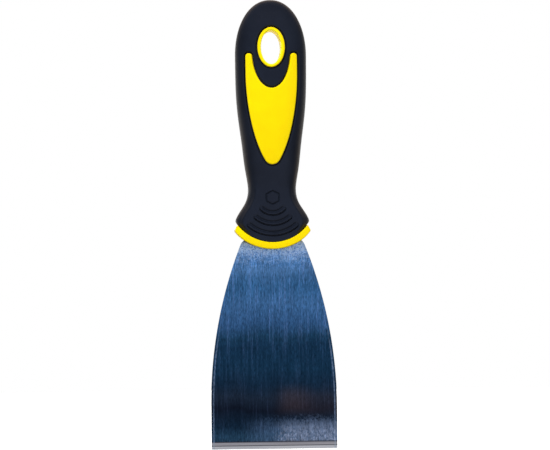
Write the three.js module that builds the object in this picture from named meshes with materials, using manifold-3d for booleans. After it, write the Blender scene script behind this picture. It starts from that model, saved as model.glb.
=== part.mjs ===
// A two-component filling knife, the narrow kind of drywall taping knife: a spring-steel blade whose
// tang is buried in a hard core, and a soft grip moulded over that core.
// Sizes are millimetres. X runs across the blade, Y through it and Z up the handle.
// The origin is the centre of the hang hole, on the plane halfway through the blade.
import * as THREE from "three";
import { mergeVertices } from "three/addons/utils/BufferGeometryUtils.js";
import Module from "manifold-3d";

const wasm = await Module();
wasm.setup();

const GAP = 0.3; // clearance left between neighbouring pieces
const PAST = 20; // half-length of a tool that cuts right through the handle
const DEG = Math.PI / 180;

// Handle, seen from the front. The butt is a superellipse dome; below it the half-width follows knots.
const DOME = { z: -4, height: 26.8, power: 2.1 };
const HALF_WIDTH = [
  [-100, 17.4], [-83, 17.3], [-79, 16.0], [-74.5, 13.2], [-70.5, 11.7], [-66.5, 11.45],
  [-57.5, 12.7], [-46, 14.1], [-34.7, 15.7], [-23, 16.65], [-13, 16.9], [-4, 16.9],
];
// Handle, seen from the side: full in the palm, slimmer at the neck and at the hang hole.
const HALF_DEPTH = [
  [-100, 8.0], [-84, 8.0], [-70, 8.2], [-56, 9.5], [-38, 10.6], [-20, 9.9], [-4, 8.8],
];
// Squareness of the handle's section: 2 is an ellipse, more is boxier.
const SQUARENESS = [[-100, 3.6], [-84, 3.4], [-70, 2.8], [-50, 2.4], [-4, 2.3]];

// The fan at the front of the handle: everything there is drawn round one centre.
const FAN_Z = -71.4;
const GRIP_END_RADIUS = 21.05;
const FLANGE = { radius: 24.3, angle: 49 * DEG, halfWidth: 18.5, halfDepth: 8.5, squareness: 4.5 };
const HEX_PAD = { acrossFlats: 6.1, height: 0.4 };
const RIBS = { radii: [7.5, 12.35, 17.2], angles: [46, 40.5, 39], width: 1.7, height: 0.5 };

const SKIN = 2.2; // thickness of the soft grip over the core
const PROUD = 0.3; // how far the core's windows stand out of the grip
const HOLE = { halfWidth: 4.9, halfHeight: 8.05 };
const COLLAR = { halfWidth: 6.6, halfHeight: 9.6 };

// The core's window in the palm: two horns beside the collar, a long belly and a round tip.
const PANEL = {
  halfWidth: 12.4,
  notch: { z: -2.2, halfWidth: 9.35, halfHeight: 17.2 },
  hornZ: -4.4,
  straightTo: -12,
  tip: { z: -51.75, radius: 3.9, angle: 32 * DEG },
  pulls: { upper: 17.2, lower: 9.5 }, // lengths of the belly curve's two handles
};

const BLADE = {
  halfWidth: 30,
  edgeZ: -191,
  straightTo: -170.5,
  sideRadius: 208,
  shoulderZ: -90.6,
  shoulderRadius: 5,
  rootHalfThickness: 0.5,
  grindFromZ: -100,
  bevelFromZ: -187.4,
  bevelHalfThickness: 0.3,
  edgeHalfThickness: 0.12,
};
const TANG = { halfWidth: 7, topZ: -27, cornerRadius: 3, neckRadius: 2, holeRadius: 3, holeZs: [-42, -60] };

const COLOURS = {
  steel: { color: 0x5f7fa3, roughness: 0.35, metalness: 1 },
  hardPlastic: { color: 0xffe401, roughness: 0.35, metalness: 0 },
  softRubber: { color: 0x1e2330, roughness: 0.6, metalness: 0 },
};

// Value at z of the smooth curve through knots of [z, value], in rising order of z.
function along(knots, z) {
  const last = knots.length - 1;
  const at = Math.min(Math.max(z, knots[0][0]), knots[last][0]);
  const i = Math.max(knots.findLastIndex(([start], k) => k < last && start <= at), 0);
  const slope = (k) => {
    const [a, b] = [knots[Math.max(k - 1, 0)], knots[Math.min(k + 1, last)]];
    return (b[1] - a[1]) / (b[0] - a[0]);
  };
  const [[z0, v0], [z1, v1]] = [knots[i], knots[i + 1]];
  const span = z1 - z0;
  const t = (at - z0) / span;
  const rise = t * t * (3 - 2 * t);
  return (
    v0 * (1 - rise) + v1 * rise +
    span * t * (1 - t) * (slope(i) * (1 - t) - slope(i + 1) * t)
  );
}

// Half-width and half-depth of the handle at z, drawn in from its skin by inset.
function section(z, inset) {
  const width = along(HALF_WIDTH, z) - inset;
  const depth = along(HALF_DEPTH, z) - inset;
  if (z <= DOME.z) return [width, depth];
  const share = Math.min((z - DOME.z) / (DOME.height - inset), 1);
  const close = Math.pow(1 - Math.pow(share, DOME.power), 1 / DOME.power);
  return [width * close, depth * close];
}

function superellipse(halfWidth, halfDepth, power, count) {
  const signed = (v) => Math.sign(v) * Math.pow(Math.abs(v), 2 / power);
  return Array.from({ length: count }, (_, i) => {
    const angle = ((i + 0.5) / count) * 2 * Math.PI;
    return [halfWidth * signed(Math.cos(angle)), halfDepth * signed(Math.sin(angle))];
  });
}

// The handle's body as one closed loft, drawn in from its skin by inset (out, if that is negative).
function handleBody(inset) {
  const around = 32;
  const [domeSteps, lowerSteps, bottomZ] = [7, 24, -99];
  const levels = [];
  for (let i = 0; i <= lowerSteps; i++) {
    levels.push(bottomZ + ((DOME.z - bottomZ) * i) / lowerSteps);
  }
  for (let i = 1; i < domeSteps; i++) {
    levels.push(DOME.z + (DOME.height - inset) * Math.sin((i / domeSteps) * 90 * DEG));
  }
  const points = [];
  for (const z of levels) {
    for (const [x, y] of superellipse(...section(z, inset), along(SQUARENESS, z), around)) {
      points.push(x, y, z);
    }
  }
  const [bottom, top] = [points.length / 3, points.length / 3 + 1];
  points.push(0, 0, bottomZ, 0, 0, DOME.z + DOME.height - inset);
  const faces = [];
  const lastRing = (levels.length - 1) * around;
  for (let i = 0; i < around; i++) {
    const next = (i + 1) % around;
    for (let ring = 0; ring < lastRing; ring += around) {
      faces.push(ring + i, ring + next, ring + around + i);
      faces.push(ring + next, ring + around + next, ring + around + i);
    }
    faces.push(bottom, next, i, lastRing + i, lastRing + next, top);
  }
  return solid(
    new THREE.BufferGeometry()
      .setAttribute("position", new THREE.Float32BufferAttribute(points, 3))
      .setIndex(faces),
  );
}

// A closed three.js geometry as a manifold-3d solid, and back.
function solid(geometry) {
  const bare = geometry.clone();
  bare.deleteAttribute("normal");
  bare.deleteAttribute("uv");
  const merged = mergeVertices(bare, 1e-4);
  return new wasm.Manifold(
    new wasm.Mesh({
      numProp: 3,
      vertProperties: new Float32Array(merged.attributes.position.array),
      triVerts: new Uint32Array(merged.index.array),
    }),
  );
}

function geometryOf(made) {
  const { numProp, numVert, vertProperties, triVerts } = made.getMesh();
  const places = new Float32Array(numVert * 3);
  for (let i = 0; i < numVert; i++) {
    places.set(vertProperties.subarray(i * numProp, i * numProp + 3), i * 3);
  }
  const geometry = new THREE.BufferGeometry()
    .setAttribute("position", new THREE.BufferAttribute(places, 3))
    .setIndex(new THREE.BufferAttribute(triVerts, 1));
  geometry.computeVertexNormals();
  return geometry;
}

// A front-view outline (x, z) pushed through the knife from -halfDepth to halfDepth.
function prism(shape, halfDepth, curveSegments = 9) {
  const options = { depth: 2 * halfDepth, bevelEnabled: false, curveSegments };
  return solid(
    new THREE.ExtrudeGeometry(shape, options).rotateX(90 * DEG).translate(0, halfDepth, 0),
  );
}

// The same outline grown by distance, for a clearance round it.
function grown(shape, distance, curveSegments = 9) {
  const points = shape.getPoints(curveSegments);
  if (points[0].distanceTo(points[points.length - 1]) < 1e-6) points.pop();
  const side = THREE.ShapeUtils.area(points) > 0 ? 1 : -1;
  const moved = points.map((point, i) => {
    const before = points[(i - 1 + points.length) % points.length];
    const after = points[(i + 1) % points.length];
    const run = after.clone().sub(before).normalize();
    return new THREE.Vector2(point.x + run.y * side * distance, point.y - run.x * side * distance);
  });
  return new THREE.Shape(moved);
}

function ellipse(halfWidth, halfHeight) {
  return new THREE.Shape().absellipse(0, 0, halfWidth, halfHeight, 0, 2 * Math.PI);
}

function panelOutline() {
  const { halfWidth, notch, hornZ, straightTo, tip, pulls } = PANEL;
  const notchAngle = Math.asin((notch.z - hornZ) / notch.halfHeight);
  const notchX = notch.halfWidth * Math.cos(notchAngle);
  const hornRadius = (halfWidth - notchX) / 2;
  const tipX = tip.radius * Math.cos(tip.angle);
  const tipZ = tip.z - tip.radius * Math.sin(tip.angle);
  const pullX = tipX + pulls.lower * Math.sin(tip.angle);
  const pullZ = tipZ + pulls.lower * Math.cos(tip.angle);
  return new THREE.Shape()
    .moveTo(halfWidth, hornZ)
    .absarc(halfWidth - hornRadius, hornZ, hornRadius, 0, Math.PI)
    .absellipse(0, notch.z, notch.halfWidth, notch.halfHeight, -notchAngle, notchAngle - Math.PI, true)
    .absarc(hornRadius - halfWidth, hornZ, hornRadius, 0, Math.PI)
    .lineTo(-halfWidth, straightTo)
    .bezierCurveTo(-halfWidth, straightTo - pulls.upper, -pullX, pullZ, -tipX, tipZ)
    .absarc(0, tip.z, tip.radius, Math.PI + tip.angle, 2 * Math.PI - tip.angle)
    .bezierCurveTo(pullX, pullZ, halfWidth, straightTo - pulls.upper, halfWidth, straightTo)
    .closePath();
}

// Part of a ring round the fan's centre, reaching angle to each side of straight down.
function fanBand(inner, outer, angle, roundEnds) {
  const [from, to] = [-Math.PI / 2 - angle, -Math.PI / 2 + angle];
  const [middle, half] = [(inner + outer) / 2, (outer - inner) / 2];
  const shape = new THREE.Shape().absarc(0, FAN_Z, outer, from, to);
  if (roundEnds) {
    shape.absarc(middle * Math.cos(to), FAN_Z + middle * Math.sin(to), half, to, to + Math.PI);
  }
  shape.absarc(0, FAN_Z, inner, to, from, true);
  if (roundEnds) {
    const lastX = middle * Math.cos(from);
    shape.absarc(lastX, FAN_Z + middle * Math.sin(from), half, from - Math.PI, from);
  }
  return shape.closePath();
}

// What lies within radius of the fan's centre, or anywhere above that centre.
function insideFan(radius) {
  const [reach, top] = [40, 60];
  const shape = new THREE.Shape()
    .moveTo(reach, top)
    .lineTo(-reach, top)
    .lineTo(-reach, FAN_Z)
    .lineTo(-radius, FAN_Z)
    .absarc(0, FAN_Z, radius, Math.PI, 2 * Math.PI)
    .lineTo(reach, FAN_Z)
    .closePath();
  return prism(shape, PAST, 26);
}

function hexPad() {
  const corner = HEX_PAD.acrossFlats / Math.sqrt(3);
  const corners = Array.from({ length: 6 }, (_, i) => {
    const angle = (30 + 60 * i) * DEG;
    return new THREE.Vector2(corner * Math.cos(angle), FAN_Z + corner * Math.sin(angle));
  });
  return prism(new THREE.Shape(corners), PAST);
}

// Blade and tang in front view. With clearance, it is the pocket that the core leaves for them.
function bladeOutline(clearance = 0) {
  const { halfWidth, edgeZ, straightTo, sideRadius, shoulderZ, shoulderRadius } = BLADE;
  const centreX = halfWidth - sideRadius;
  const cornerZ = shoulderZ - shoulderRadius;
  const reach = sideRadius - shoulderRadius;
  const cornerX = centreX + Math.sqrt(reach * reach - (cornerZ - straightTo) ** 2);
  const meet = Math.atan2(cornerZ - straightTo, cornerX - centreX);
  const tangX = TANG.halfWidth;
  const { neckRadius, cornerRadius, topZ } = TANG;
  const right = new THREE.Shape()
    .moveTo(0, edgeZ)
    .lineTo(halfWidth, edgeZ)
    .absarc(centreX, straightTo, sideRadius, 0, meet)
    .absarc(cornerX, cornerZ, shoulderRadius, meet, Math.PI / 2)
    .absarc(tangX + neckRadius, shoulderZ + neckRadius, neckRadius, 1.5 * Math.PI, Math.PI, true)
    .absarc(tangX - cornerRadius, topZ - cornerRadius, cornerRadius, 0, Math.PI / 2)
    .lineTo(0, topZ)
    .getPoints(10);
  const left = right.slice(1, -1).reverse().map((point) => new THREE.Vector2(-point.x, point.y));
  const outline = new THREE.Shape([...right, ...left]);
  return clearance ? grown(outline, clearance, 1) : outline;
}

// A rod through the knife at height z, for the tang's holes and the pegs that fill them.
function crossRod(radius, z) {
  return solid(new THREE.CylinderGeometry(radius, radius, 2 * PAST, 20).translate(0, 0, z));
}

// The blade is flat down to grindFromZ, tapers from there to the bevel, and the bevel thins it to the edge.
function makeBlade() {
  const halfProfile = [
    [BLADE.rootHalfThickness, TANG.topZ],
    [BLADE.rootHalfThickness, BLADE.grindFromZ],
    [BLADE.bevelHalfThickness, BLADE.bevelFromZ],
    [BLADE.edgeHalfThickness, BLADE.edgeZ],
  ];
  const front = halfProfile.map(([y, z]) => new THREE.Vector2(-y, z));
  const back = halfProfile.map(([y, z]) => new THREE.Vector2(y, z)).reverse();
  const reach = BLADE.halfWidth + 1;
  const profile = new THREE.Shape([...front, ...back]);
  // Extruding leaves the profile in x and y, so turn it to stand in y and z and run along x.
  const ground = solid(
    new THREE.ExtrudeGeometry(profile, { depth: 2 * reach, bevelEnabled: false })
      .rotateX(90 * DEG)
      .rotateZ(90 * DEG)
      .translate(-reach, 0, 0),
  );
  let blade = prism(bladeOutline(), 1).intersect(ground);
  for (const z of TANG.holeZs) {
    blade = blade.subtract(crossRod(TANG.holeRadius, z));
  }
  return blade;
}

function makeFlange(innerRadius) {
  const { radius, angle, halfWidth, halfDepth, squareness } = FLANGE;
  const plan = superellipse(halfWidth, halfDepth, squareness, 40);
  const outline = new THREE.Shape(plan.map(([x, y]) => new THREE.Vector2(x, y)));
  const [above, below] = [FAN_Z, FAN_Z - 2 * radius]; // the column reaches past the ring both ways
  const column = solid(
    new THREE.ExtrudeGeometry(outline, { depth: above - below, bevelEnabled: false })
      .translate(0, 0, below),
  );
  return prism(fanBand(innerRadius, radius, angle, false), PAST, 20).intersect(column);
}

function makeCore() {
  const shown = handleBody(-PROUD);
  let core = handleBody(SKIN).intersect(insideFan(FLANGE.radius));
  core = core.add(prism(panelOutline(), PAST).intersect(shown));
  core = core.add(prism(ellipse(COLLAR.halfWidth, COLLAR.halfHeight), PAST, 18).intersect(shown));
  core = core.add(makeFlange(GRIP_END_RADIUS + GAP));
  core = core.subtract(prism(ellipse(HOLE.halfWidth, HOLE.halfHeight), PAST, 16));
  let pocket = prism(bladeOutline(GAP), BLADE.rootHalfThickness + GAP);
  for (const z of TANG.holeZs) {
    pocket = pocket.subtract(crossRod(TANG.holeRadius - GAP, z));
  }
  return core.subtract(pocket);
}

function makeGrip() {
  const raised = (tool, height) => tool.intersect(handleBody(-height)).subtract(handleBody(SKIN / 2));
  let grip = handleBody(0).intersect(insideFan(GRIP_END_RADIUS)).subtract(handleBody(SKIN - GAP));
  grip = grip.subtract(prism(grown(panelOutline(), GAP), PAST));
  grip = grip.subtract(prism(ellipse(COLLAR.halfWidth + GAP, COLLAR.halfHeight + GAP), PAST, 18));
  grip = grip.add(raised(hexPad(), HEX_PAD.height));
  RIBS.radii.forEach((radius, i) => {
    const band = fanBand(radius - RIBS.width / 2, radius + RIBS.width / 2, RIBS.angles[i] * DEG, true);
    grip = grip.add(raised(prism(band, PAST, 8), RIBS.height));
  });
  return grip;
}

const knife = new THREE.Group();
for (const [name, made, look] of [
  ["blade", makeBlade(), COLOURS.steel],
  ["handle_core", makeCore(), COLOURS.hardPlastic],
  ["soft_grip", makeGrip(), COLOURS.softRubber],
]) {
  const mesh = new THREE.Mesh(geometryOf(made), new THREE.MeshStandardMaterial(look));
  mesh.name = name;
  knife.add(mesh);
}

export default knife;
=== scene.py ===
"""The looks of a two-component filling knife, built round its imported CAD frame.

The blade is spring steel. A hard yellow core is moulded round its tang, and a soft black grip over that.
The handle is one smooth skin: a section for every height, with relief raised from it or sunk into it.
A quarter of each piece is built, with x at least 0 and y at most 0, and mirrored to make the whole.
Lengths are written in millimetres and turned into metres when a mesh is made.
"""

import math

import bmesh
import bpy
import numpy as np
from mathutils import Matrix, Vector
from mathutils.geometry import delaunay_2d_cdt


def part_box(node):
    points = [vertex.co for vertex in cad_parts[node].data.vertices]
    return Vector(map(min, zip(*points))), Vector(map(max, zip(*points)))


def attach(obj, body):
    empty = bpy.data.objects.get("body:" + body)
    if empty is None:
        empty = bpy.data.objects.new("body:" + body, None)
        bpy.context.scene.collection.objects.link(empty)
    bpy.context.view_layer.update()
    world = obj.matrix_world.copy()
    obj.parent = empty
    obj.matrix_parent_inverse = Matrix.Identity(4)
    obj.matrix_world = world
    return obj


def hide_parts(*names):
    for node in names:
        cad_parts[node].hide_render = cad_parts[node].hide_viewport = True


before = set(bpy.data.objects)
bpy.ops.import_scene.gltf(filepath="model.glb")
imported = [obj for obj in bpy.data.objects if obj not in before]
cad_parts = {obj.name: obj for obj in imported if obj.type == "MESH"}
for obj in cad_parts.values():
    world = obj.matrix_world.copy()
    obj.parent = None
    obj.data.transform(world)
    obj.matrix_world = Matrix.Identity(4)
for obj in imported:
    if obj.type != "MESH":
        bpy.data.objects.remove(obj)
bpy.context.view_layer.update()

MM = 0.001


def node_box(name):
    """The corners of a CAD node, in millimetres."""
    low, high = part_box(name)
    return low / MM, high / MM


BLADE_BOX = node_box("blade")
CORE_BOX = node_box("handle_core")
GRIP_BOX = node_box("soft_grip")

# ---------------------------------------------------------------- sizes: the handle's skin
# Above DOME_Z the skin closes over the butt in a dome.
DOME_Z = -4
DOME_HEIGHT = GRIP_BOX[1].z - DOME_Z
DOME_POWER = 2.1
# Knots of smooth curves, as (z, value). Squareness is the power of the superellipse that each section is.
HALF_WIDTH = [
    (-92, 12.4), (-86.6, 15.7), (-82.7, 17.55), (-80.0, 16.6), (-77.4, 15.0), (-74.5, 13.15),
    (-71.2, 11.85), (-67.4, 11.4), (-63, 11.85), (-57.4, 12.8), (-46, 14.15), (-34.6, 15.65),
    (-23, 16.65), (-13, 16.9), (-4, 16.95), (10, 16.9), (25, 16.9),
]
HALF_DEPTH = [
    (-96, 8.1), (-84, 8.1), (-70, 8.2), (-56, 9.4), (-38, 10.5), (-20, 9.9), (-4, 8.8), (10, 8.5),
    (25, 8.5),
]
SQUARENESS = [(-96, 3.4), (-84, 3.2), (-70, 2.8), (-50, 2.45), (-4, 2.3), (25, 2.3)]

# The skin is unrolled for a quarter of the handle: u runs from the centreline (0) to the silhouette,
# and v runs up it. Up to the dome v is z, and over the dome it follows the curve.
UNROLL = 13.5
U_END = UNROLL * math.pi / 2
DOME_ARC = 22.2
V_TOP = DOME_Z + DOME_ARC * math.pi / 2

# ---------------------------------------------------------------- sizes: what lies on the skin
# The ribs, the grip's end and the flange are all drawn round one point on the axis.
FAN_Z = -71.4
GRIP_END = 21.05
# The core lies SKIN below the handle's surface where the grip covers it, with GAP between the two.
SKIN = 2.2
GAP = 0.3
# Half-axes of the hang hole and of the outside of its collar.
HOLE = (4.9, 8.05)
COLLAR = (6.55, 9.5)
# The panel is a shield, from its top down: a notch with its centre's z, half-width and height, a horn at
# each side of it, straight sides, sides that curve in with two pulls, and a tip with its centre's z, its
# radius and the angle at which the sides meet it.
PANEL = {
    "half_width": 12.35, "notch": (-2.2, 9.35, 17.2), "horn_z": -4.4, "straight_to": -12.0,
    "tip": (-51.75, 3.9, math.radians(32)), "pulls": (17.2, 9.5),
}
HEXAGON = [(0, 3.0), (2.85, 1.6), (2.85, -1.6), (0, -3.0)]
RIB_RADII = (7.5, 12.35, 17.2)
RIB_ANGLES = tuple(math.radians(a) for a in (46, 41.5, 41))
RIB_HALF = 0.5

# Height over the skin by distance from an outline, inside it (below 0) and out.
RIB_ABOVE = [
    (-0.5, 0.4), (-0.35, 0.4), (-0.2, 0.3), (0.05, 0.0), (0.3, -0.35), (0.42, -0.42), (0.55, -0.42),
    (0.8, -0.24), (1.05, -0.08), (1.3, 0.0),
]
RIB_BELOW = [
    (-0.5, 0.4), (-0.3, 0.52), (-0.15, 0.54), (0.0, 0.0), (0.12, -0.65), (0.4, -0.7), (0.55, -0.25),
    (0.7, -0.04), (1.3, 0.0),
]
HEX_PROFILE = [
    (-0.75, 0.1), (-0.45, 0.1), (-0.25, 0.04), (-0.1, -0.12), (0.05, -0.34), (0.2, -0.38), (0.35, -0.24),
    (0.5, -0.06), (0.65, 0.04), (0.85, 0.06), (1.1, 0.03), (1.3, 0.0),
]
# The triangles keep to the outlines moved by these distances, apart from those this far in or further.
FURTHEST_IN = -0.5
# How much shallower the grooves get round a rib's ends.
RIB_END_FADE = 0.6
# A soft ridge follows each side of the flare, and fades out above it.
RIDGE_HEIGHT, RIDGE_INSET, RIDGE_HALF = 0.55, 3.7, 1.1
RIDGE_FADE = (FAN_Z - 1, FAN_Z + 7)

# Radii of the rounded edges, and how far the core stands out over the skin.
PANEL_RIM, COLLAR_RIM, HOLE_RIM, END_RIM = 0.55, 0.45, 0.75, 0.4
PROUD = 0.12
# The core's walls round the panel and the collar lean outwards by CORE_WALL.
CORE_WALL = 0.06
CORE_END = GRIP_END + 1.2
# The grip's edge round the panel and the collar: clear of the core, a groove, its leaning wall and a
# rounded lip.
CLEAR, GROOVE, GROOVE_DEPTH, GROOVE_WALL, LIP = 0.05, 0.8, 1.5, 0.03, 0.4
GRIP_BACK = SKIN - GAP
# The skin's sheets run from inside the flange to a small ring on top of the dome, which a fan closes.
SKIN_TOP = V_TOP - 0.55
SKIN_AREA = ((0, FAN_Z - 23), (U_END, SKIN_TOP))

# ---------------------------------------------------------------- sizes: the flange
FLANGE_INNER = GRIP_END + 0.03
FLANGE_OUTER = FAN_Z - CORE_BOX[0].z
FLANGE_ANGLE = math.radians(49)
# Half its depth, which narrows towards a half-width of FLANGE_SQUARE_AT as a superellipse.
FLANGE_DEPTH, FLANGE_SQUARE_AT, FLANGE_POWER = 8.5, 19.2, 4.5
FLANGE_OUTER_RIM, FLANGE_INNER_RIM, FLANGE_END_RIM = 0.55, 0.35, 0.35
# Towards its ends the flange gets slimmer by FLANGE_TAPER, and its inner edge reaches further round by
# FLANGE_LEAN. The higher the power, the nearer the end that starts.
FLANGE_TAPER, FLANGE_TAPER_POWER = 0.4, 6
FLANGE_LEAN, FLANGE_LEAN_POWER = math.radians(3), 9

# ---------------------------------------------------------------- sizes: the blade
BLADE_HALF = BLADE_BOX[1].x
EDGE_Z = BLADE_BOX[0].z
TANG_TOP = BLADE_BOX[1].z
SHOULDER_Z = -90.6
SIDE_STRAIGHT_Z = EDGE_Z + 20.5
SIDE_RADIUS = 208
SHOULDER_RADIUS = 5
FACET_HEIGHT, BEVEL_HEIGHT = 1.7, 3.5
# Half the thickness, as (z, half).
BLADE_THICKNESS = [
    (EDGE_Z, 0.09), (EDGE_Z + FACET_HEIGHT, 0.2), (EDGE_Z + BEVEL_HEIGHT, 0.3), (-100, 0.5), (TANG_TOP, 0.5),
]
# The sides are filed to a chamfer this wide, which takes this share off the thickness.
SIDE_CHAMFER, SIDE_THINNER = 1.1, 0.45
TANG = {"half": 7, "corner": 3, "neck": 2, "hole": 3, "holes": (-42, -60)}
# The core's pocket is larger than the tang by this to each side and on each face.
POCKET_SIDE, POCKET_FACE = 0.2, 0.15

# How far apart the triangles' corners are in the open parts of each sheet.
SPACING = {"grip": 0.6, "grip_back": 2.4, "core": 0.8, "blade": 1.2, "pocket": 3.0}

# ---------------------------------------------------------------- colours and light
# The steel's base colour by share of the way up from the edge to the shoulder: its blue, with a painted
# reflection of the studio's light and dark bands in it.
STEEL_AND_PAINTED_REFLECTION_STOPS = [
    (0.06, (0.044, 0.108, 0.134)), (0.11, (0.0175, 0.043, 0.06)), (0.19, (0.0155, 0.021, 0.029)),
    (0.25, (0.034, 0.05, 0.062)), (0.31, (0.021, 0.052, 0.073)), (0.38, (0.022, 0.072, 0.1)),
    (0.49, (0.024, 0.075, 0.107)), (0.53, (0.033, 0.103, 0.138)), (0.6, (0.088, 0.21, 0.31)),
    (0.69, (0.132, 0.3, 0.42)), (0.77, (0.094, 0.256, 0.36)), (0.82, (0.124, 0.29, 0.395)),
    (0.85, (0.195, 0.39, 0.51)), (0.88, (0.18, 0.4, 0.54)), (0.905, (0.32, 0.56, 0.67)),
    (0.94, (0.76, 0.96, 1.0)), (1.0, (0.82, 0.94, 1.0)),
]
# What glossy surfaces mirror: a colour by the height of the direction, from low to high, times a colour
# by how far it is turned from the front.
MIRROR_HEIGHT = 0.6
HEIGHT_STOPS = [
    (0.0, (0.2, 0.2, 0.22)), (0.3, (0.4, 0.4, 0.43)), (0.38, (0.2, 0.22, 0.28)),
    (0.46, (0.12, 0.17, 0.28)), (0.51, (0.3, 0.42, 0.68)), (0.57, (0.3, 0.4, 0.62)),
    (0.66, (0.08, 0.1, 0.14)), (0.85, (0.12, 0.13, 0.17)), (1.0, (0.4, 0.41, 0.5)),
]
TURN_STOPS = [
    (0.0, (1.5, 1.5, 1.7)), (0.06, (1.5, 1.5, 1.7)), (0.13, (2, 2, 2)), (0.2, (0.3, 0.3, 0.3)),
    (0.5, (0.05, 0.05, 0.05)), (0.65, (2, 1.5, 0.9)), (0.8, (4.5, 3.3, 2)), (1.0, (6, 4.4, 2.8)),
]
# The strength of the light from all round, beside a backdrop that the camera sees as white.
AMBIENT = 0.48
# The soft lights: name, place and size in metres, and power in watts.
LIGHTS = [
    ("key", (-0.3, -0.8, 0.85), (0.5, 0.35), 14),
    ("fill", (0.7, -0.9, 0.1), (0.6, 0.8), 1.2),
    ("back", (0.3, 0.9, 0.5), (0.6, 0.6), 8),
]
# The floor's size, how far it lies below the blade, and the strength of its own light.
FLOOR_RADIUS, FLOOR_DROP, FLOOR_GLOW = 900, 22, 0.45

# ---------------------------------------------------------------- camera
# The width of what it sees at VIEW_CENTRE, from VIEW_DISTANCE away.
FRAME_WIDTH = 261.9
VIEW_DISTANCE = 1400
VIEW_CENTRE = Vector((1.3, 0, -84.35))
VIEW_TURN = math.radians(2.7)
VIEW_ROLL = math.radians(-0.62)
SENSOR = 36


# ---------------------------------------------------------------- the handle's skin
def spline(knots):
    """The natural cubic curve through (z, value) knots, as a function of an array of z."""
    z, v = np.array(knots, float).T
    step = np.diff(z)
    count = len(z)
    matrix, right = np.eye(count), np.zeros(count)
    for i in range(1, count - 1):
        matrix[i, i - 1 : i + 2] = step[i - 1], 2 * (step[i - 1] + step[i]), step[i]
        right[i] = 6 * ((v[i + 1] - v[i]) / step[i] - (v[i] - v[i - 1]) / step[i - 1])
    bend = np.linalg.solve(matrix, right)

    def at(x):
        x = np.clip(x, z[0], z[-1])
        i = np.clip(np.searchsorted(z, x, side="right") - 1, 0, count - 2)
        above, below = z[i + 1] - x, x - z[i]
        curve = (bend[i] * above**3 + bend[i + 1] * below**3) / (6 * step[i])
        start = v[i] / step[i] - bend[i] * step[i] / 6
        end = v[i + 1] / step[i] - bend[i + 1] * step[i] / 6
        return curve + start * above + end * below

    return at


half_width_at = spline(HALF_WIDTH)
half_depth_at = spline(HALF_DEPTH)
squareness_at = spline(SQUARENESS)


def z_of_v(v):
    turn = np.clip((v - DOME_Z) / DOME_ARC, 0, math.pi / 2)
    return np.where(v <= DOME_Z, v, DOME_Z + DOME_HEIGHT * np.sin(turn) ** (2 / DOME_POWER))


def v_of_z(z):
    share = np.clip((z - DOME_Z) / DOME_HEIGHT, 0, 1)
    return np.where(z <= DOME_Z, z, DOME_Z + DOME_ARC * np.arcsin(share ** (DOME_POWER / 2)))


def section_at_v(v):
    """Half-width, half-depth and squareness of the skin at v."""
    z = z_of_v(v)
    turn = np.clip((v - DOME_Z) / DOME_ARC, 0, math.pi / 2)
    close = np.cos(turn) ** (2 / DOME_POWER)
    return half_width_at(z) * close, half_depth_at(z) * close, squareness_at(z)


def skin_point(u, v):
    """The place of (u, v) on the skin."""
    width, depth, power = section_at_v(v)
    angle = math.pi / 2 - u / UNROLL
    across, out = np.cos(angle), np.sin(angle)
    reach = (np.abs(across) ** power + np.abs(out) ** power) ** (-1 / power)
    return np.stack([width * across * reach, -depth * out * reach, z_of_v(v)], -1)


def skin(u, v, height):
    """Points on the skin, raised by height along its normal."""
    small = 0.02
    v = np.minimum(v, V_TOP - 2 * small)
    along_u = skin_point(u + small, v) - skin_point(u - small, v)
    along_v = skin_point(u, v + small) - skin_point(u, v - small)
    normal = np.cross(along_u, along_v)
    normal /= np.linalg.norm(normal, axis=-1, keepdims=True)
    return skin_point(u, v) + normal * np.asarray(height)[..., None]


def unroll(points):
    """Where front-view points (x, z) lie on the skin, as (u, v)."""
    x, z = points[:, 0], points[:, 1]
    v = v_of_z(z)
    width, _, power = section_at_v(v)
    share = np.clip(x / width, 0, 1)
    out = (1 - share**power) ** (1 / power)
    return np.stack([UNROLL * (math.pi / 2 - np.arctan2(out, share)), v], -1)


def fan_line(radius, count=150):
    """Where the skin meets a cylinder round the fan's centre, as (u, v) from the centreline to the side."""
    u = np.linspace(0, U_END, count)
    low, high = np.full(count, FAN_Z - radius), np.full(count, FAN_Z - 4.0)
    for _ in range(40):
        middle = (low + high) / 2
        x = skin_point(u, middle)[:, 0]
        outside = x**2 + (middle - FAN_Z) ** 2 > radius**2
        low, high = np.where(outside, middle, low), np.where(outside, high, middle)
    return np.stack([u, (low + high) / 2], -1)


# ---------------------------------------------------------------- outlines, seen from the front
# Each is the half with x at least 0, clockwise from its top on the centreline to its bottom.
def arc(centre, radius, start, end, step=0.2):
    """Points on an arc, or with a pair of radii an ellipse, from one angle to another."""
    rx, rz = radius if isinstance(radius, tuple) else (radius, radius)
    count = max(int(abs(end - start) * max(rx, rz) / step), 6)
    angle = np.linspace(start, end, count + 1)
    return np.stack([centre[0] + rx * np.cos(angle), centre[1] + rz * np.sin(angle)], -1)


def bezier(a, b, c, d, count=160):
    """Points on the curve from a to d, pulled towards b and c."""
    t = np.linspace(0, 1, count + 1)[:, None]
    a, b, c, d = (np.array(p, float) for p in (a, b, c, d))
    return a * (1 - t) ** 3 + 3 * b * t * (1 - t) ** 2 + 3 * c * t**2 * (1 - t) + d * t**3


def joined(*runs):
    """Runs of points as one line, with one point where two runs meet."""
    points = np.concatenate(runs)
    keep = np.ones(len(points), bool)
    keep[1:] = np.linalg.norm(np.diff(points, axis=0), axis=1) > 1e-4
    return points[keep]


def line(a, b, step=0.3):
    count = max(int(math.dist(a, b) / step), 1)
    return np.linspace(a, b, count + 1)


def ellipse(size, step=0.2):
    return arc((0, 0), size, math.pi / 2, -math.pi / 2, step)


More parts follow.
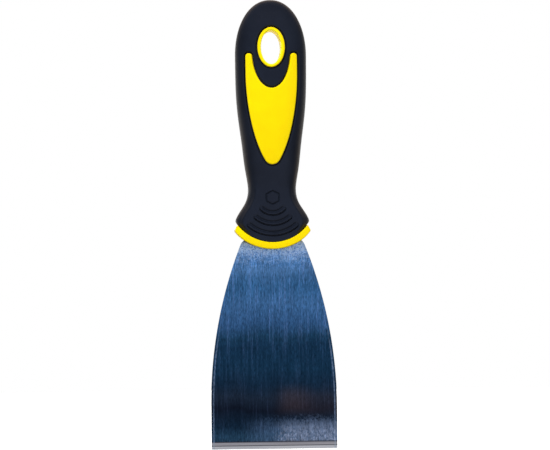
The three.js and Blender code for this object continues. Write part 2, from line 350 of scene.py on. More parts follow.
def panel_outline():
    notch_z, notch_x, notch_height = PANEL["notch"]
    tip_z, tip_radius, tip_angle = PANEL["tip"]
    half, horn_z, straight_to = PANEL["half_width"], PANEL["horn_z"], PANEL["straight_to"]
    upper_pull, lower_pull = PANEL["pulls"]
    notch_end = math.asin((horn_z - notch_z) / notch_height)
    inner_x = notch_x * math.cos(notch_end)
    horn = (half - inner_x) / 2
    tip_x, low_z = tip_radius * math.cos(tip_angle), tip_z - tip_radius * math.sin(tip_angle)
    pull = (tip_x + lower_pull * math.sin(tip_angle), low_z + lower_pull * math.cos(tip_angle))
    return joined(
        arc((0, notch_z), (notch_x, notch_height), -math.pi / 2, notch_end, 0.25),
        arc((half - horn, horn_z), horn, math.pi, 0, 0.15),
        line((half, horn_z), (half, straight_to)),
        bezier((half, straight_to), (half, straight_to - upper_pull), pull, (tip_x, low_z)),
        arc((0, tip_z), tip_radius, -tip_angle, -math.pi / 2),
    )


def rib_outline(radius, angle):
    end = (radius * math.sin(angle), FAN_Z - radius * math.cos(angle))
    down = -math.pi / 2
    return joined(
        arc((0, FAN_Z), radius - RIB_HALF, down, down + angle),
        arc(end, RIB_HALF, down + angle + math.pi, down + angle, 0.12),
        arc((0, FAN_Z), radius + RIB_HALF, down + angle, down),
    )


def hex_outline(corner_radius=0.5):
    """The hexagon with rounded corners."""
    corners = [Vector((x, z + FAN_Z)) for x, z in HEXAGON]
    mirrored = [Vector((-p.x, p.y)) for p in (corners[1], corners[-2])]
    around = [mirrored[0]] + corners + [mirrored[1]]
    runs = []
    for before, corner, after in zip(around, around[1:], around[2:]):
        back, on = (before - corner).normalized(), (after - corner).normalized()
        half = back.angle(on) / 2
        centre = corner + (back + on).normalized() * corner_radius / math.sin(half)
        middle = math.atan2(*reversed(corner - centre))
        sweep = math.pi / 2 - half
        runs.append(arc(centre, corner_radius, middle + sweep, middle - sweep, 0.1))
    runs[0], runs[-1] = runs[0][runs[0][:, 0] > -1e-9], runs[-1][runs[-1][:, 0] > -1e-9]
    parts = [runs[0]]
    for before, after in zip(runs, runs[1:]):
        parts += [line(before[-1], after[0], 0.25), after]
    return joined(*parts)


def offset(points, distance):
    """The line moved outwards by distance. Its ends stay on the centreline."""
    run = np.gradient(points, axis=0)
    run[0], run[-1] = (abs(run[0][0]), 0), (-abs(run[-1][0]), 0)
    run /= np.linalg.norm(run, axis=1, keepdims=True)
    moved = points + distance * np.stack([-run[:, 1], run[:, 0]], -1)
    moved[[0, -1], 0] = 0
    return moved


def distance_to(points, outline):
    """Signed distance of front-view points from an outline, above 0 outside it."""
    a, b = outline[:-1], outline[1:]
    run = b - a
    best = np.full(len(points), np.inf)
    crossings = np.zeros(len(points), int)
    for start, end, step in zip(a, b, run):
        share = np.clip(((points - start) @ step) / (step @ step), 0, 1)
        away = points - start - share[:, None] * step
        best = np.minimum(best, np.einsum("ij,ij->i", away, away))
        if start[1] != end[1]:
            level = (points[:, 1] - start[1]) / (end[1] - start[1])
            hit = (level >= 0) & (level < 1) & (start[0] + level * step[0] > points[:, 0])
            crossings += hit
    return np.sqrt(best) * np.where(crossings % 2 == 1, -1, 1)


def rounded(depth_in, radius):
    """How far a rounded edge drops at depth_in from it: radius at the edge, nothing from radius inwards."""
    reach = np.clip(radius - depth_in, 0, radius)
    return radius - np.sqrt(radius**2 - reach**2)


# ---------------------------------------------------------------- sheets and meshes
def staggered(area, spacing):
    """Points in staggered rows that cover area, given as its low and high corners."""
    (low_u, low_v), (high_u, high_v) = area
    row_spacing = 0.87 * spacing
    columns = int((high_u - low_u) / spacing) + 1
    rows = int((high_v - low_v) / row_spacing) + 1
    even = np.linspace(low_u, high_u, columns + 1)
    odd = np.concatenate([[low_u], (even[1:] + even[:-1]) / 2, [high_u]])
    levels = np.linspace(low_v, high_v, rows + 1)
    return np.array([(u, v) for k, v in enumerate(levels) for u in (odd if k % 2 else even)])


def clear_of(points, fixed, reach):
    """Which points have none of fixed within reach."""
    cells = {}
    for x, y in fixed:
        cells.setdefault((int(x // reach), int(y // reach)), []).append((x, y))
    clear = np.ones(len(points), bool)
    for i, (x, y) in enumerate(points):
        column, row = int(x // reach), int(y // reach)
        around = [(column + a, row + b) for a in (-1, 0, 1) for b in (-1, 0, 1)]
        near = [p for cell in around for p in cells.get(cell, ())]
        clear[i] = all((x - a) ** 2 + (y - b) ** 2 > reach**2 for a, b in near)
    return clear


def sheet(runs, spacing, area, keep):
    """Triangles over area that keep to the runs of points.

    keep says which triangles stay, by their middles. Returns the points, the triangles, and each run's
    points as indices.
    """
    fixed = np.concatenate(runs)
    firsts = np.cumsum([0] + [len(run) for run in runs])
    edges = [(i, i + 1) for first, run in zip(firsts, runs) for i in range(first, first + len(run) - 1)]
    fill = staggered(area, spacing)
    fill = fill[clear_of(fill, fixed, 0.55 * spacing)]
    start = [Vector(p) for p in np.concatenate([fixed, fill]).tolist()]
    made = delaunay_2d_cdt(start, edges, [], 0, 1e-5)
    points, faces = np.array([tuple(p) for p in made[0]]), np.array(made[2])
    a, b, c = (points[faces[:, k]] for k in range(3))
    doubled_area = np.abs(np.cross(b - a, c - a))
    faces = faces[keep((a + b + c) / 3) & (doubled_area > 1e-6)]
    place = {i: n for n, origins in enumerate(made[3]) for i in origins}
    indices = [[place[i] for i in range(first, first + len(run))] for first, run in zip(firsts, runs)]
    return points, faces, indices


class Quarter:
    """A quarter of a piece, with x at least 0 and y at most 0, that becomes the whole by mirroring."""

    def __init__(self):
        self.points = []
        self.faces = []

    def add(self, points, faces=()):
        first = len(self.points)
        self.points += [tuple(p) for p in points]
        self.faces += [tuple(int(first + i) for i in face) for face in faces]
        return first

    def strip(self, one, other):
        for k in range(len(one) - 1):
            self.faces.append((one[k], one[k + 1], other[k + 1], other[k]))

    def to_middle(self, run, rows=1):
        """A wall from a run of points straight back to the middle plane."""
        start = np.array([self.points[i] for i in run])
        last = run
        for row in range(1, rows + 1):
            level = start * (1, 1 - row / rows, 1)
            first = self.add(level)
            now = list(range(first, first + len(run)))
            self.strip(last, now)
            last = now

    def whole(self, name):
        points = np.array(self.points) * MM
        points[np.abs(points) < 1e-7] = 0
        mesh = bmesh.new()
        for x, y in ((1, 1), (-1, 1), (1, -1), (-1, -1)):
            made = [mesh.verts.new(p) for p in points * (x, y, 1)]
            for face in self.faces:
                corners = [made[i] for i in face]
                if x * y < 0:
                    corners.reverse()
                mesh.faces.new(corners)
        bmesh.ops.remove_doubles(mesh, verts=mesh.verts, dist=4e-7)
        bmesh.ops.dissolve_degenerate(mesh, edges=mesh.edges, dist=1e-7)
        bmesh.ops.recalc_face_normals(mesh, faces=mesh.faces)
        return as_object(mesh, name)


def as_object(mesh, name):
    data = bpy.data.meshes.new(name)
    mesh.to_mesh(data)
    mesh.free()
    piece = bpy.data.objects.new(name, data)
    bpy.context.scene.collection.objects.link(piece)
    return piece


def combine(piece, tool, operation):
    """Joins tool to piece, or cuts it away, and removes the tool."""
    step = piece.modifiers.new("combine", "BOOLEAN")
    step.operation = operation
    step.object = tool
    step.solver = "MANIFOLD"
    bpy.context.view_layer.update()
    result = piece.evaluated_get(bpy.context.evaluated_depsgraph_get())
    data = bpy.data.meshes.new_from_object(result)
    piece.modifiers.clear()
    piece.data = data
    bpy.data.objects.remove(tool)
    return piece


def smooth(piece, sharp_above=math.radians(38)):
    for face in piece.data.polygons:
        face.use_smooth = True
    piece.data.set_sharp_from_angle(angle=sharp_above)


def round_steps(radius, count=6):
    """Distances in from a rounded edge, closer together where the edge turns fastest."""
    return [radius * (1 - math.cos(math.pi / 2 * k / count)) for k in range(1, count + 1)]


# ---------------------------------------------------------------- the handle's pieces
def front(uv):
    """Front-view (x, z) of points (u, v) on the skin."""
    return skin_point(uv[:, 0], uv[:, 1])[:, [0, 2]]


def inside_fan(at, radius):
    """Which front-view points lie above the fan's centre, or within radius of it."""
    return (np.hypot(at[:, 0], at[:, 1] - FAN_Z) < radius) | (at[:, 1] > FAN_Z)


def cap(points, height):
    """The dome's top point, and the triangles that close the skin over it. It comes after the points."""
    ring = np.flatnonzero(np.abs(points[:, 1] - SKIN_TOP) < 1e-6)
    ring = ring[np.argsort(points[ring, 0], kind="stable")]
    top = (0, 0, DOME_Z + DOME_HEIGHT + height)
    return top, [(a, b, len(points)) for a, b in zip(ring, ring[1:])]


def add_skin(quarter, points, faces, height, top_height):
    """Adds a sheet of the skin with the dome's top closed, and returns the index of its first point."""
    top, fan = cap(points, top_height)
    on_skin = skin(points[:, 0], points[:, 1], height)
    return quarter.add([*on_skin, top], [*faces, *fan])


def relief(points):
    """Height of the ribs, the hexagon and the side ridges over the grip's skin, at front-view points."""
    height = np.zeros(len(points))
    from_centre = np.hypot(points[:, 0], points[:, 1] - FAN_Z)
    turn = np.arctan2(points[:, 0], FAN_Z - points[:, 1])
    for radius, angle in zip(RIB_RADII, RIB_ANGLES):
        away = distance_to(points, rib_outline(radius, angle))
        below = np.interp(from_centre - radius, (-RIB_HALF, RIB_HALF), (0, 1))
        upper, lower = (np.interp(away, *zip(*knots)) for knots in (RIB_ABOVE, RIB_BELOW))
        profile = upper * (1 - below) + lower * below
        past_end = np.clip((turn - angle) * radius / RIB_HALF, 0, 1)
        height += profile * np.where(profile < 0, 1 - RIB_END_FADE * past_end, 1)
    height += np.interp(distance_to(points, hex_outline()), *zip(*HEX_PROFILE))
    inset = half_width_at(points[:, 1]) - points[:, 0]
    fade = np.interp(points[:, 1], RIDGE_FADE, (1, 0))
    return height + RIDGE_HEIGHT * np.exp(-(((inset - RIDGE_INSET) / RIDGE_HALF) ** 2)) * fade


def make_grip():
    window, collar = panel_outline(), ellipse(COLLAR)
    rims = [CLEAR, GROOVE, GROOVE + GROOVE_WALL] + [GROOVE + e for e in round_steps(LIP, 5)[1:]]
    window_runs = [unroll(offset(window, e)) for e in rims]
    collar_runs = [unroll(offset(collar, e)) for e in rims]
    end_runs = [fan_line(GRIP_END - e) for e in [0.0] + round_steps(END_RIM)]
    runs = window_runs + collar_runs + end_runs
    steps = sorted({e for e, _ in RIB_ABOVE + RIB_BELOW if e > FURTHEST_IN})
    for radius, angle in zip(RIB_RADII, RIB_ANGLES):
        runs += [unroll(offset(rib_outline(radius, angle), e)) for e in steps]
    runs += [unroll(offset(hex_outline(), e)) for e, _ in HEX_PROFILE if e > FURTHEST_IN]

    def keep(uv):
        at = front(uv)
        outside = (distance_to(at, window) > CLEAR) & (distance_to(at, collar) > CLEAR)
        return inside_fan(at, GRIP_END) & outside

    quarter = Quarter()
    points, faces, lines = sheet(runs, SPACING["grip"], SKIN_AREA, keep)
    at = front(points)
    height = relief(at)
    for outline in (window, collar):
        away = distance_to(at, outline) - GROOVE
        height -= np.where(away < 0.01, GROOVE_DEPTH, rounded(away, LIP))
    from_end = np.where(at[:, 1] < FAN_Z, GRIP_END - np.hypot(at[:, 0], at[:, 1] - FAN_Z), END_RIM)
    height -= rounded(from_end, END_RIM)
    add_skin(quarter, points, faces, height, 0)

    # The same edges, sunk by the grip's thickness, bound its back.
    back_runs = [window_runs[0], collar_runs[0], end_runs[0]]
    back, back_faces, back_lines = sheet(back_runs, SPACING["grip_back"], SKIN_AREA, keep)
    first = add_skin(quarter, back, back_faces, np.full(len(back), -GRIP_BACK), -GRIP_BACK)
    for edge, back_edge in zip((0, len(rims), 2 * len(rims)), back_lines):
        quarter.strip(lines[edge], [first + i for i in back_edge])
    return quarter.whole("grip")


def make_core_body():
    window, collar, hole = panel_outline(), ellipse(COLLAR), ellipse(HOLE)
    runs = [unroll(hole), fan_line(CORE_END, 60)]
    runs += [unroll(offset(hole, e)) for e in round_steps(HOLE_RIM)]
    runs += [unroll(offset(collar, -e)) for e in [-CORE_WALL, 0.0] + round_steps(COLLAR_RIM)]
    runs += [unroll(offset(window, -e)) for e in [-CORE_WALL, 0.0] + round_steps(PANEL_RIM)]

    def keep(uv):
        at = front(uv)
        return inside_fan(at, CORE_END) & (distance_to(at, hole) > 0)

    quarter = Quarter()
    points, faces, lines = sheet(runs, SPACING["core"], SKIN_AREA, keep)
    at = front(points)
    height = np.full(len(at), -SKIN)
    for outline, rim in ((window, PANEL_RIM), (collar, COLLAR_RIM)):
        away = distance_to(at, outline)
        top = PROUD - rounded(-away, rim)
        height = np.where(away < 1e-3, top, np.where(away < CORE_WALL - 1e-3, PROUD - rim, height))
    height -= np.where(height > -SKIN, rounded(distance_to(at, hole), HOLE_RIM), 0)
    add_skin(quarter, points, faces, height, -SKIN)
    hole_edge, core_end = lines[:2]
    quarter.to_middle(hole_edge, 6)
    quarter.to_middle(core_end, 2)
    return quarter.whole("core")


def flange_section(high, half_depth, inset):
    """The flange's section as (radius, y): a box with rounded corners, all of it drawn in by inset."""
    low, high, half_depth = FLANGE_INNER + inset, high - inset, half_depth - inset
    outer_rim, inner_rim = (max(rim - inset, 0.05) for rim in (FLANGE_OUTER_RIM, FLANGE_INNER_RIM))
    outer, inner = (high - outer_rim, outer_rim), (low + inner_rim, inner_rim)
    points = []
    for turns, (side, (radius, rim)) in enumerate([(1, outer), (1, inner), (-1, inner), (-1, outer)]):
        y = side * (half_depth - rim)
        angles = np.radians(np.linspace(0, 90, 8) + 90 * turns)
        points += [(radius + rim * math.cos(a), y + rim * math.sin(a)) for a in angles]
    return points


def flange_stops():
    """Angles along the flange, each with how far the section is drawn in there to round off the ends."""
    tuck = FLANGE_END_RIM / FLANGE_INNER
    full = FLANGE_ANGLE - tuck
    turns = np.radians([18, 36, 54, 72, 88])
    end = [(full + tuck * math.sin(t), FLANGE_END_RIM * (1 - math.cos(t))) for t in turns]
    other_end = [(-angle, inset) for angle, inset in reversed(end)]
    return other_end + [(angle, 0.0) for angle in np.linspace(-full, full, 141)] + end


def make_flange():
    mesh = bmesh.new()
    rings = []
    for angle, inset in flange_stops():
        across = abs(FLANGE_OUTER * math.sin(angle)) / FLANGE_SQUARE_AT
        depth = FLANGE_DEPTH * (1 - across**FLANGE_POWER) ** (1 / FLANGE_POWER)
        share = angle / FLANGE_ANGLE
        high = FLANGE_OUTER - FLANGE_TAPER * share**FLANGE_TAPER_POWER
        ring = []
        for radius, y in flange_section(high, depth, inset):
            inwards = (high - radius) / (high - FLANGE_INNER)
            turned = angle + FLANGE_LEAN * inwards * share**FLANGE_LEAN_POWER
            place = (radius * math.sin(turned), y, FAN_Z - radius * math.cos(turned))
            ring.append(mesh.verts.new([c * MM for c in place]))
        rings.append(ring)
    for one, other in zip(rings, rings[1:]):
        for k in range(len(one)):
            after = (k + 1) % len(one)
            mesh.faces.new((one[k], one[after], other[after], other[k]))
    mesh.faces.new(rings[0])
    mesh.faces.new(rings[-1])
    bmesh.ops.recalc_face_normals(mesh, faces=mesh.faces)
    return as_object(mesh, "flange")


# ---------------------------------------------------------------- the blade
def side_outline():
    """The right-hand side from the tang's top, round the shoulder, to the working edge."""
    centre_x = BLADE_HALF - SIDE_RADIUS
    corner_z = SHOULDER_Z - SHOULDER_RADIUS
    reach = SIDE_RADIUS - SHOULDER_RADIUS
    corner_x = centre_x + math.sqrt(reach**2 - (corner_z - SIDE_STRAIGHT_Z) ** 2)
    meet = math.atan2(corner_z - SIDE_STRAIGHT_Z, corner_x - centre_x)
    half, corner, neck = TANG["half"], TANG["corner"], TANG["neck"]
    down = -math.pi / 2
    return joined(
        line((0, TANG_TOP), (half - corner, TANG_TOP), 0.8),
        arc((half - corner, TANG_TOP - corner), corner, math.pi / 2, 0, 0.4),
        line((half, TANG_TOP - corner), (half, SHOULDER_Z + neck), 0.8),
        arc((half + neck, SHOULDER_Z + neck), neck, math.pi, -down * 3, 0.3),
        line((half + neck, SHOULDER_Z), (corner_x, SHOULDER_Z), 0.5),
        arc((corner_x, corner_z), SHOULDER_RADIUS, math.pi / 2, meet, 0.2),
        arc((centre_x, SIDE_STRAIGHT_Z), SIDE_RADIUS, meet, 0, 0.4),
        line((BLADE_HALF, SIDE_STRAIGHT_Z), (BLADE_HALF, EDGE_Z), 0.4),
    )


def sideways(points, distance):
    """The side outline moved inwards by distance, with both ends sliding along the edges they end on."""
    run = np.gradient(points, axis=0)
    run[0], run[-1] = (1, 0), (0, -1)
    run /= np.linalg.norm(run, axis=1, keepdims=True)
    return points - distance * np.stack([-run[:, 1], run[:, 0]], -1)


def blade_quarter(grow, hole_radius, spacing, half_thickness, detail=None):
    """A quarter of the blade, grown sideways by grow.

    half_thickness gives half the thickness at front-view points. detail gives more lines for the triangles
    to keep to. Both are told the side outline.
    """
    side = sideways(side_outline(), -grow)
    side[-1, 1] -= grow
    bottom = side[-1, 1]
    whole = joined(side, line(side[-1], (0, bottom), 0.5))
    holes = [arc((0, z), hole_radius, math.pi / 2, -math.pi / 2, 0.3) for z in TANG["holes"]]
    runs = [whole] + holes + (detail(side) if detail else [])

    def keep(middle):
        inside = distance_to(middle, whole) < 0
        for hole in holes:
            inside &= distance_to(middle, hole) > 0
        return inside

    quarter = Quarter()
    area = ((0, bottom), (BLADE_HALF + grow, side[0, 1]))
    points, faces, lines = sheet(runs, spacing, area, keep)
    quarter.add(np.stack([points[:, 0], -half_thickness(points, side), points[:, 1]], -1), faces)
    for run in lines[: 1 + len(holes)]:
        quarter.to_middle(run)
    return quarter


def make_blade():
    levels, halves = zip(*BLADE_THICKNESS)

    def bevel_lines(side):
        """The chamfer's inner edge, and a level line wherever the thickness starts to change."""
        runs = [sideways(side, SIDE_CHAMFER)]
        for z in levels:
            if EDGE_Z < z < SHOULDER_Z:
                reach = np.interp(z, side[::-1, 1], side[::-1, 0]) - 1e-3
                runs.append(line((0, z), (reach, z), 0.5))
        return runs

    def half_thickness(points, side):
        chamfer = np.clip(1 - np.abs(distance_to(points, side)) / SIDE_CHAMFER, 0, 1)
        return np.interp(points[:, 1], levels, halves) * (1 - SIDE_THINNER * chamfer)

    quarter = blade_quarter(0, TANG["hole"], SPACING["blade"], half_thickness, bevel_lines)
    return quarter.whole("spring_steel_blade")


def make_pocket():
    """What the core leaves open for the tang, less the two pegs that pass through it."""
    half = BLADE_THICKNESS[-1][1] + POCKET_FACE

    def half_thickness(points, side):
        return np.full(len(points), half)

    peg = TANG["hole"] - GAP
    return blade_quarter(POCKET_SIDE, peg, SPACING["pocket"], half_thickness).whole("pocket")


# ---------------------------------------------------------------- materials
class Nodes:
    """Shorter words for building a tree of nodes."""

    def __init__(self, tree):
        self.tree = tree

    def add(self, kind, inputs=None, **settings):
        node = self.tree.nodes.new(kind)
        for key, value in settings.items():
            setattr(node, key, value)
        for key, value in (inputs or {}).items():
            self.put(node.inputs[key], value)
        return node

    def put(self, socket, value):
        if isinstance(value, bpy.types.NodeSocket):
            self.tree.links.new(value, socket)
        else:
            socket.default_value = value

    def math(self, operation, a, b=0.0):
        return self.add("ShaderNodeMath", {0: a, 1: b}, operation=operation).outputs[0]

    def product(self, first, *others):
        for other in others:
            first = self.math("MULTIPLY", first, other)
        return first

    def length(self, a, b):
        """The long side of a right-angled triangle with sides a and b."""
        squares = (self.math("MULTIPLY", side, side) for side in (a, b))
        return self.math("SQRT", self.math("ADD", *squares))

    def blend(self, share, a, b):
        """The number a share of the way from a to b, which may be past b."""
        rest = self.math("SUBTRACT", 1.0, share)
        return self.math("ADD", self.math("MULTIPLY", b, share), self.math("MULTIPLY", a, rest))

    def between(self, value, low, high, to_low=0.0, to_high=1.0, smooth=True):
        """The value's place between low and high, brought to another range. low may be above high."""
        kind = "SMOOTHSTEP" if smooth else "LINEAR"
        inputs = {"Value": value, "From Min": low, "From Max": high, "To Min": to_low, "To Max": to_high}
        return self.add("ShaderNodeMapRange", inputs, interpolation_type=kind).outputs["Result"]

    def ramp(self, value, stops):
        node = self.add("ShaderNodeValToRGB", {"Fac": value})
        elements = node.color_ramp.elements
        while len(elements) < len(stops):
            elements.new(0.5)
        for element, (at, colour) in zip(elements, stops):
            element.position = at
            element.color = (*colour, 1)
        return node.outputs["Color"]

    def mix(self, share, a, b, blend="MIX"):
        """Two colours mixed."""
        node = self.add("ShaderNodeMix", data_type="RGBA", blend_type=blend)
        for socket, value in ((node.inputs[0], share), (node.inputs[6], a), (node.inputs[7], b)):
            self.put(socket, (*value, 1) if isinstance(value, tuple) else value)
        return node.outputs[2]

    def grey(self, value):
        """The grey colour of a number."""
        return self.add("ShaderNodeCombineColor", {0: value, 1: value, 2: value}).outputs[0]


class Material(Nodes):
    """The nodes of one material, with what depends on the place on the object."""

    def __init__(self, name):
        self.material = bpy.data.materials.new(name)
        self.material.use_nodes = True
        super().__init__(self.material.node_tree)
        self.place = self.add("ShaderNodeTexCoord").outputs["Object"]

    def axis(self, name):
        """The place along one axis, in millimetres."""
        split = self.add("ShaderNodeSeparateXYZ", {0: self.place})
        return self.math("MULTIPLY", split.outputs[name], 1 / MM)

    def noise(self, per_mm, detail=3.0, roughness=0.55, distortion=0.0):
        """Noise with per_mm features to a millimetre along x, y and z."""
        scale = [count / MM for count in per_mm]
        place = self.add("ShaderNodeVectorMath", {0: self.place, 1: scale}, operation="MULTIPLY").outputs[0]
        inputs = {
            "Vector": place, "Scale": 1.0, "Detail": detail,
            "Roughness": roughness, "Distortion": distortion,
        }
        return self.add("ShaderNodeTexNoise", inputs).outputs["Fac"]

    def bump(self, height, strength, depth, after=None):
        """The normal over bumps up to depth millimetres high, on top of the bumps of another normal."""
        inputs = {"Height": height, "Strength": strength, "Distance": depth * MM}
        if after:
            inputs["Normal"] = after
        return self.add("ShaderNodeBump", inputs).outputs["Normal"]

    def finish(self, **sockets):
        """Sets the shader's sockets, and returns the material."""
        shader = self.tree.nodes["Principled BSDF"]
        for key, value in sockets.items():
            self.put(shader.inputs[key.replace("_", " ")], value)
        return self.material


# Each of the steel's functions adds one thing that is seen on the blade. x and up are the place across it
# and above its working edge, aside is the distance from its centreline, and base is the colour so far.
def brush_marks(n, up):
    """Long and short streaks along the blade, and how bright they and a broad unevenness make it."""
    long = n.noise((1.5, 1.5, 0.06), 3.0, 0.6)
    short = n.noise((2.7, 2.7, 0.5), 4.0, 0.72)
    broad = n.noise((0.15, 0.15, 0.06))
    tone = n.product(
        n.between(short, 0.3, 0.7, 0.43, 1.57, smooth=False),
        n.between(long, 0.3, 0.7, 0.75, 1.25, smooth=False),
        n.between(broad, 0.3, 0.7, 0.88, 1.12, smooth=False),
    )
    # The marks are weaker in the painted reflection's dark band above the edge, and where scuffs cover them.
    strength = n.math("MAXIMUM", n.between(up, 16, 41, 0.6, 1.0), n.between(up, 16, 9, 0.6, 1.2))
    strength = n.math("MINIMUM", strength, n.between(up, 87, 96, 1.0, 0.6))
    return long, short, n.blend(strength, 1.0, tone)


def blue_and_painted_reflection(n, up, long):
    """The steel's blue by height, with a painted reflection's light and dark bands in it, and paler streaks
    in its upper half.
    """
    wander = n.between(n.noise((0.07, 0.07, 0.05)), 0.3, 0.7, -0.012, 0.012)
    share = n.between(up, 0, SHOULDER_Z - EDGE_Z, smooth=False)
    base = n.ramp(n.math("ADD", share, wander), STEEL_AND_PAINTED_REFLECTION_STOPS)
    pale = n.product(n.between(long, 0.5, 0.7), n.between(up, 41, 66, 0.04, 0.22))
    return n.mix(pale, base, (0.36, 0.4, 0.55))


def scuffed(n, base, up):
    """Squiggly bright scuffs under the handle, with duller steel between them."""
    scuff = n.noise((0.65, 0.65, 0.9), 3.0, 0.75, 1.4)
    near_handle = n.between(up, 84, 96)
    bright = n.product(near_handle, n.between(scuff, 0.5, 0.58))
    dull = n.product(near_handle, n.between(scuff, 0.5, 0.42))
    base = n.mix(n.product(bright, 0.95), base, (0.8, 0.92, 1.0))
    base = n.mix(n.product(dull, 0.85), base, (0.13, 0.27, 0.45))
    return base, bright, n.bump(scuff, n.product(near_handle, 0.3), 0.03)


def rubbed(n, base, x, up):
    """Steel rubbed bright towards one corner of the edge, with a faint warm band and stain above it."""
    speckle = n.noise((0.9, 0.9, 0.7), 4.0, 0.7, 0.8)
    ragged = n.product(n.math("SUBTRACT", speckle, 0.5), 14.0)
    ragged_x, ragged_up = n.math("ADD", x, ragged), n.math("ADD", up, ragged)
    haze = n.product(n.between(ragged_x, -18, 0), n.between(ragged_up, 16.5, 10))
    base = n.mix(n.product(haze, 0.27), base, (0.32, 0.45, 0.54))
    corner = n.product(n.between(ragged_x, -1, 9), n.between(ragged_up, 16, 8))
    corner = n.product(corner, n.between(speckle, 0.4, 0.62, 0.35, 1.15))
    base = n.mix(n.product(corner, 0.88), base, (0.6, 0.62, 0.6))
    band = n.product(n.between(x, -4, 8), n.between(up, 13, 19), n.between(up, 29, 23))
    base = n.mix(n.product(band, 0.16), base, (0.17, 0.1, 0.075))
    stain = n.product(n.between(x, 0, 7), n.between(x, 22, 10), n.between(up, 15, 22), n.between(up, 32, 25))
    return n.mix(n.product(stain, 0.2), base, (0.25, 0.14, 0.1))


def ground(n, base, up):
    """The two facets ground at the edge, each with a dark line along its top."""
    facets, lower = (n.between(up, top + 0.05, top - 0.05) for top in (BEVEL_HEIGHT, FACET_HEIGHT))
    base = n.mix(facets, base, n.mix(lower, (0.37, 0.355, 0.36), (0.58, 0.58, 0.58)))
    for top, width in ((BEVEL_HEIGHT, 0.5), (FACET_HEIGHT, 0.35)):
        away = n.math("ABSOLUTE", n.math("SUBTRACT", up, top))
        base = n.mix(n.between(away, width, 0.4 * width, 0, 0.75), base, (0.05, 0.05, 0.06))
    return base, facets


def filed_edge_and_painted_highlight(n, base, aside, up):
    """The inner edge of the chamfer filed along the sides, lighter along that fold as a painted highlight,
    and more so where it is worn.
    """
    across = n.math("SUBTRACT", aside, BLADE_HALF - SIDE_RADIUS)
    above = n.math("MAXIMUM", n.math("SUBTRACT", up, SIDE_STRAIGHT_Z - EDGE_Z), 0.0)
    inset = n.math("SUBTRACT", SIDE_RADIUS, n.length(across, above))
    away = n.math("ABSOLUTE", n.math("SUBTRACT", inset, SIDE_CHAMFER))
    worn = n.between(n.noise((1.3, 1.3, 0.9), 3.0, 0.7), 0.35, 0.65, 0.2, 0.7)
    rim = n.product(n.between(away, 0.55, 0.05), worn, n.between(up, 66, 41, 0.2, 1.0))
    return n.mix(rim, base, (0.33, 0.42, 0.5)), rim


def shaded(n, base, x, aside, up):
    """A line of shadow and dirt along the handle's flange."""
    from_fan = n.length(x, n.math("ADD", up, EDGE_Z - FAN_Z))
    under = n.between(from_fan, FLANGE_OUTER + 0.5, FLANGE_OUTER + 0.2)
    return n.mix(n.product(under, n.between(aside, 6, 13, 0.15, 0.9)), base, (0.02, 0.025, 0.03))


def steel_material():
    """Steel brushed along the blade, blued towards the middle with a painted reflection's bands in the blue,
    scuffed above and bright at the bevel.
    """
    n = Material("brushed_spring_steel")
    x, up = n.axis("X"), n.math("SUBTRACT", n.axis("Z"), EDGE_Z)
    aside = n.math("ABSOLUTE", x)
    long, short, tone = brush_marks(n, up)
    # The blue base carries a painted reflection: light and dark bands by height.
    base = blue_and_painted_reflection(n, up, long)
    base, scuffs, scuff_bumps = scuffed(n, base, up)
    base = rubbed(n, base, x, up)
    base, facets = ground(n, base, up)
    # A painted highlight, broken up by wear, along the chamfer's inner edge.
    base, rim = filed_edge_and_painted_highlight(n, base, aside, up)
    base = shaded(n, base, x, aside, up)

    # The facets are ruled along the edge instead of brushed towards it.
    ruled = n.between(n.noise((0.02, 0.02, 2.2), 2.0), 0.3, 0.7, 0.75, 1.25, smooth=False)
    base = n.mix(1.0, base, n.grey(n.blend(facets, tone, ruled)), "MULTIPLY")
    rough = n.between(short, 0.3, 0.7, 0.42, 0.3, smooth=False)
    rough = n.math("ADD", rough, n.product(scuffs, 0.12))
    # rim is the painted highlight and wear along the chamfer's edge.
    dull = n.math("MAXIMUM", n.product(facets, 0.55), n.product(rim, 0.4))
    dull = n.math("MAXIMUM", dull, n.between(up, 91, 98, 0, 0.22))
    return n.finish(
        Base_Color=base, Metallic=n.math("SUBTRACT", 1.0, dull), Roughness=rough, Anisotropic=0.8,
        Normal=n.bump(short, 0.3, 0.02, scuff_bumps),
    )


def plastic_material():
    """Semi-gloss yellow, clouded a little. In the hang hole, where it mostly sees itself, it is painted
    lighter and yellower: painted light that offsets the walls' shade and orange cast.
    """
    n = Material("hard_yellow_plastic")
    cloud = n.noise((0.12, 0.12, 0.12))
    fine = n.noise((6.0, 6.0, 6.0), 2.0)
    base = n.mix(n.between(cloud, 0.3, 0.7), (0.98, 0.71, 0.0), (1.0, 0.745, 0.0))
    # Painted light: a lighter, yellower colour on the hang hole's walls, where they would otherwise be
    # shaded.
    from_hole = n.length(*(n.math("DIVIDE", n.axis(name), half) for name, half in zip("XZ", HOLE)))
    base = n.mix(n.between(from_hole, 1.14, 1.025), base, (1.0, 0.88, 0.02))
    return n.finish(
        Base_Color=base, Roughness=n.between(cloud, 0.3, 0.7, 0.38, 0.46), Normal=n.bump(fine, 0.15, 0.01),
        Specular_IOR_Level=0.1, Subsurface_Weight=0.3, Subsurface_Scale=MM,
        Subsurface_Radius=(0.9, 0.9, 0.1),
    )


def rubber_material():
    """Soft, finely grained black with a trace of blue."""
    n = Material("soft_black_grip")
    cloud = n.noise((0.08, 0.08, 0.08), 4.0)
    fine = n.noise((4.0, 4.0, 4.0))
    base = n.mix(n.between(cloud, 0.3, 0.7), (0.0065, 0.009, 0.0165), (0.0085, 0.012, 0.0215))
    return n.finish(
        Base_Color=base, Roughness=n.between(fine, 0.3, 0.7, 0.4, 0.52), Normal=n.bump(fine, 0.3, 0.03),
        Specular_IOR_Level=0.3, Sheen_Weight=0.03, Sheen_Roughness=0.35,
    )


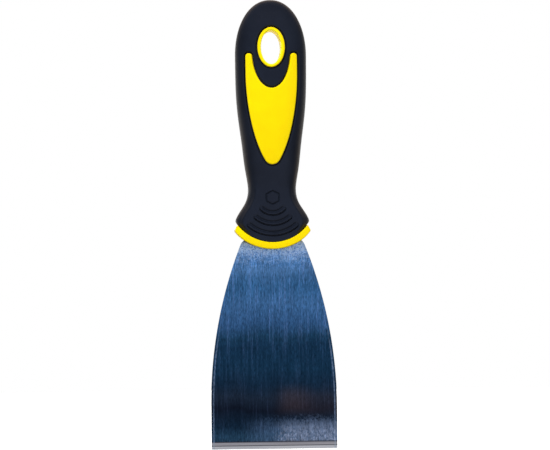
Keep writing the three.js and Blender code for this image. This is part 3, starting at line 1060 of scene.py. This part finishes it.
# ---------------------------------------------------------------- the object
def place_piece(piece, node, material):
    """Gives a piece its material, and hides the CAD node it stands for."""
    smooth(piece)
    piece.data.materials.clear()
    piece.data.materials.append(material)
    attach(piece, "root")
    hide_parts(node)


blade = make_blade()
core = combine(make_core_body(), make_flange(), "UNION")
core = combine(core, make_pocket(), "DIFFERENCE")
core.name = "hard_core"
grip = make_grip()
grip.name = "soft_grip_shell"
place_piece(blade, "blade", steel_material())
place_piece(core, "handle_core", plastic_material())
place_piece(grip, "soft_grip", rubber_material())


# ---------------------------------------------------------------- camera, light and floor
def add_camera():
    data = bpy.data.cameras.new("camera")
    data.sensor_width = SENSOR
    data.lens = SENSOR * VIEW_DISTANCE / FRAME_WIDTH
    data.clip_start, data.clip_end = 0.05, 50
    camera = bpy.data.objects.new("camera", data)
    back = Vector((-math.sin(VIEW_TURN), -math.cos(VIEW_TURN), 0))
    turn = (-back).to_track_quat("-Z", "Y").to_matrix().to_4x4() @ Matrix.Rotation(VIEW_ROLL, 4, "Z")
    camera.matrix_world = Matrix.Translation((VIEW_CENTRE + back * VIEW_DISTANCE) * MM) @ turn
    bpy.context.scene.collection.objects.link(camera)
    bpy.context.scene.camera = camera


def add_light(name, place, size, power):
    """A soft light that shines on the middle of the view. Glossy surfaces don't mirror it."""
    data = bpy.data.lights.new(name, "AREA")
    data.shape = "RECTANGLE"
    data.size, data.size_y = size
    data.energy = power
    light = bpy.data.objects.new(name, data)
    place = Vector(place)
    aim = VIEW_CENTRE * MM - place
    light.matrix_world = Matrix.Translation(place) @ aim.to_track_quat("-Z", "Y").to_matrix().to_4x4()
    light.visible_glossy = False
    bpy.context.scene.collection.objects.link(light)


def add_world():
    """White behind the object, even light from all round, and a gradient of its own for reflections."""
    world = bpy.data.worlds.new("studio")
    world.use_nodes = True
    world.node_tree.nodes.clear()
    n = Nodes(world.node_tree)
    direction = n.add("ShaderNodeSeparateXYZ", {0: n.add("ShaderNodeTexCoord").outputs["Generated"]})
    height = n.between(direction.outputs["Z"], -MIRROR_HEIGHT, MIRROR_HEIGHT, smooth=False)
    turn = n.between(direction.outputs["Y"], -1, 1, smooth=False)
    around = n.mix(1.0, n.ramp(height, HEIGHT_STOPS), n.ramp(turn, TURN_STOPS), "MULTIPLY")
    ray = n.add("ShaderNodeLightPath").outputs
    strength = n.between(ray["Is Camera Ray"], 0, 1, AMBIENT, 1.0, smooth=False)
    mirrored = n.add("ShaderNodeBackground", {"Color": around})
    backdrop = n.add("ShaderNodeBackground", {"Color": (1, 1, 1, 1), "Strength": strength})
    shaders = {0: ray["Is Glossy Ray"], 1: backdrop.outputs[0], 2: mirrored.outputs[0]}
    n.add("ShaderNodeOutputWorld", {"Surface": n.add("ShaderNodeMixShader", shaders).outputs[0]})
    bpy.context.scene.world = world


def add_floor():
    """A pale floor that merges with the backdrop."""
    mesh = bmesh.new()
    bmesh.ops.create_circle(mesh, cap_ends=True, segments=128, radius=FLOOR_RADIUS * MM)
    floor = as_object(mesh, "floor")
    floor.location = (0, 0, (EDGE_Z - FLOOR_DROP) * MM)
    n = Material("pale_floor")
    pale = n.mix(n.noise((0.01, 0.01, 0.01), 2.0), (0.9, 0.9, 0.9), (0.93, 0.93, 0.93))
    glow = {"Emission_Color": (1, 1, 1, 1), "Emission_Strength": FLOOR_GLOW}
    floor.data.materials.append(n.finish(Base_Color=pale, Roughness=0.9, **glow))
    floor.visible_glossy = floor.visible_diffuse = False


add_camera()
for light in LIGHTS:
    add_light(*light)
add_world()
add_floor()
bpy.context.scene.view_settings.view_transform = "Standard"
